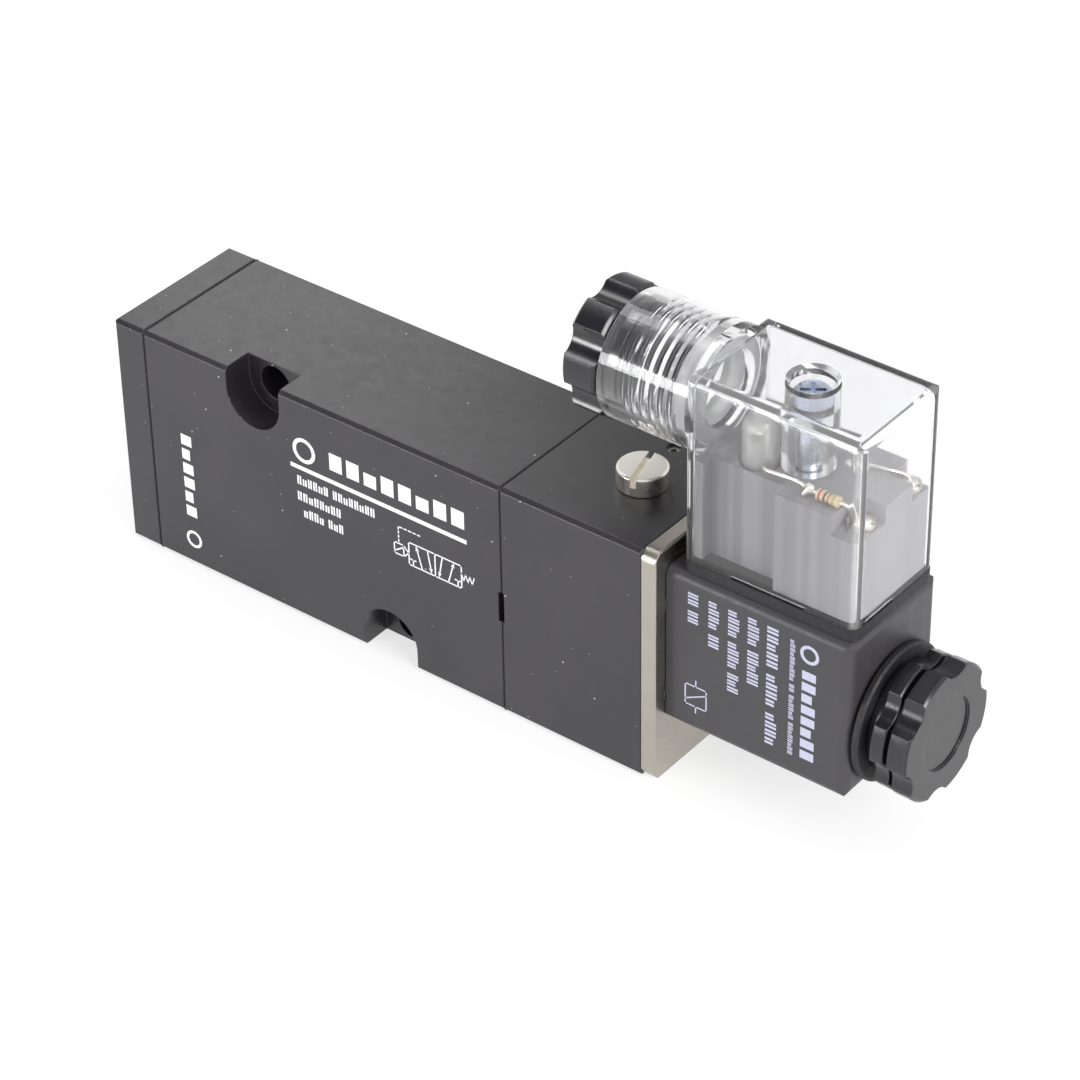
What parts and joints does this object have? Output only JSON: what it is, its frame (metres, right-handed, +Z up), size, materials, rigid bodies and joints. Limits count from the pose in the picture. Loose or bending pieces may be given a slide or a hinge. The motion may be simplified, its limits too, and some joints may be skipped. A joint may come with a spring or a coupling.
{
  "type": "solenoid directional valve",
  "caption": "Pilot-operated spool valve block with a flange-pattern mounting face, a side coil, a clear plug connector with cable gland and a slotted manual override.",
  "frame": {"origin": "centre of the mounting pattern, on the flat back face", "axes": "+X along the spool towards the coil, +Y out of the mounting face, +Z up towards the connector; ports 1, 3 and 5 open downwards"},
  "size_m": [0.1371, 0.0256, 0.069],
  "materials": {
    "anodised_aluminium": "black anodised, fine matt",
    "spool_aluminium": "turned",
    "black_moulding": "fine spark-eroded texture",
    "knob_plastic": "satin moulded",
    "rubber": "matt",
    "nickel_plate": "nickel plated, satin",
    "zinc_steel": "blue zinc plated",
    "plain_steel": "machined",
    "brass": "machined",
    "copper_wire": "enamelled winding",
    "clear_plastic": "clear polycarbonate",
    "lamp_resin": "clear cast resin, a little cloudy",
    "insert_moulding": "grey-black moulding with flow bands",
    "silicone": "translucent silicone",
    "resistor_body": "lacquered",
    "white_print": "pad printed ink"
  },
  "bodies": {
    "valve": {"valve_body": "anodised_aluminium", "end_cap": "anodised_aluminium", "end_cap_gasket": "rubber", "end_cap_screws": "plain_steel", "pilot_block": "anodised_aluminium", "pilot_gasket": "rubber", "pilot_block_screws": "plain_steel", "pilot_seat": "brass", "gallery_plug": "nickel_plate", "coil_plate": "nickel_plate", "plate_screws": "nickel_plate", "tube_o_ring": "rubber", "armature_tube": "brass", "fixed_core": "plain_steel", "override_pin": "plain_steel", "port_seals": "rubber", "return_spring": "plain_steel", "plunger_spring": "plain_steel"},
    "spool": {"spool": "spool_aluminium", "spool_seals": "rubber", "pilot_piston": "black_moulding", "piston_seal": "rubber"},
    "plunger": {"plunger": "plain_steel", "plunger_seal": "rubber"},
    "override": {"override_screw": "nickel_plate", "override_o_ring": "rubber"},
    "coil": {"coil_housing": "black_moulding", "coil_bobbin": "black_moulding", "coil_winding": "copper_wire", "coil_yoke": "plain_steel", "coil_terminals": "nickel_plate", "coil_face_seal": "rubber", "screw_bushing": "brass"},
    "nut_washer": {"nut_washer": "rubber"},
    "coil_nut": {"coil_nut": "knob_plastic"},
    "connector": {"connector_housing": "clear_plastic", "connector_insert": "insert_moulding", "contact_clips": "brass", "clamp_screws": "nickel_plate", "connector_gasket": "rubber", "indicator_led": "lamp_resin", "indicator_resistor": "resistor_body", "indicator_leads": "nickel_plate", "gland_grommet": "silicone"},
    "screw_ring": {"screw_o_ring": "rubber"},
    "connector_screw": {"connector_screw": "zinc_steel"},
    "gland_washer": {"gland_washer": "black_moulding"},
    "gland_nut": {"gland_nut": "knob_plastic"}
  },
  "joints": [
    {"name": "spool_shift", "type": "slide", "parent": "valve", "child": "spool", "axis": [-1, 0, 0], "range_m": [0, 0.003], "stiffness_N_per_m": 600, "springref_m": -0.004, "deforming": ["return_spring"]},
    {"name": "plunger_stroke", "type": "slide", "parent": "valve", "child": "plunger", "axis": [1, 0, 0], "range_m": [0, 0.001], "stiffness_N_per_m": 400, "springref_m": -0.002, "deforming": ["plunger_spring"]},
    {"name": "override_turn", "type": "hinge", "parent": "valve", "child": "override", "pos_m": [0.0477, -0.01265, 0.0193], "axis": [0, 0, 1], "range_deg": [0, 90]},
    {"name": "coil_swivel", "type": "hinge", "parent": "valve", "child": "coil", "pos_m": [0, -0.01265, 0], "axis": [1, 0, 0], "range_deg": [-180, 180]},
    {"name": "coil_nut_travel", "type": "slide", "parent": "valve", "child": "nut_washer", "axis": [1, 0, 0], "range_m": [0, 0.006]},
    {"name": "coil_nut_turn", "type": "hinge", "parent": "nut_washer", "child": "coil_nut", "pos_m": [0, -0.01265, 0], "axis": [1, 0, 0], "range_deg": [0, 2160]},
    {"name": "connector_pull", "type": "slide", "parent": "coil", "child": "connector", "axis": [0, 0, 1], "range_m": [0, 0.014]},
    {"name": "connector_screw_travel", "type": "slide", "parent": "connector", "child": "screw_ring", "axis": [0, 0, 1], "range_m": [0, 0.004]},
    {"name": "connector_screw_turn", "type": "hinge", "parent": "screw_ring", "child": "connector_screw", "pos_m": [0.07495, -0.01265, 0.04], "axis": [0, 0, 1], "range_deg": [0, 2880]},
    {"name": "gland_nut_travel", "type": "slide", "parent": "connector", "child": "gland_washer", "axis": [-1, 0, 0], "range_m": [0, 0.0045]},
    {"name": "gland_nut_turn", "type": "hinge", "parent": "gland_washer", "child": "gland_nut", "pos_m": [0.047, -0.01265, 0.0401], "axis": [-1, 0, 0], "range_deg": [0, 1080]}
  ],
  "couplings": [
    {"joint": "coil_nut_turn", "follows": "coil_nut_travel", "rad_per_m": 6283.2},
    {"joint": "connector_screw_turn", "follows": "connector_screw_travel", "rad_per_m": 12566},
    {"joint": "gland_nut_turn", "follows": "gland_nut_travel", "rad_per_m": 4188.8}
  ]
}
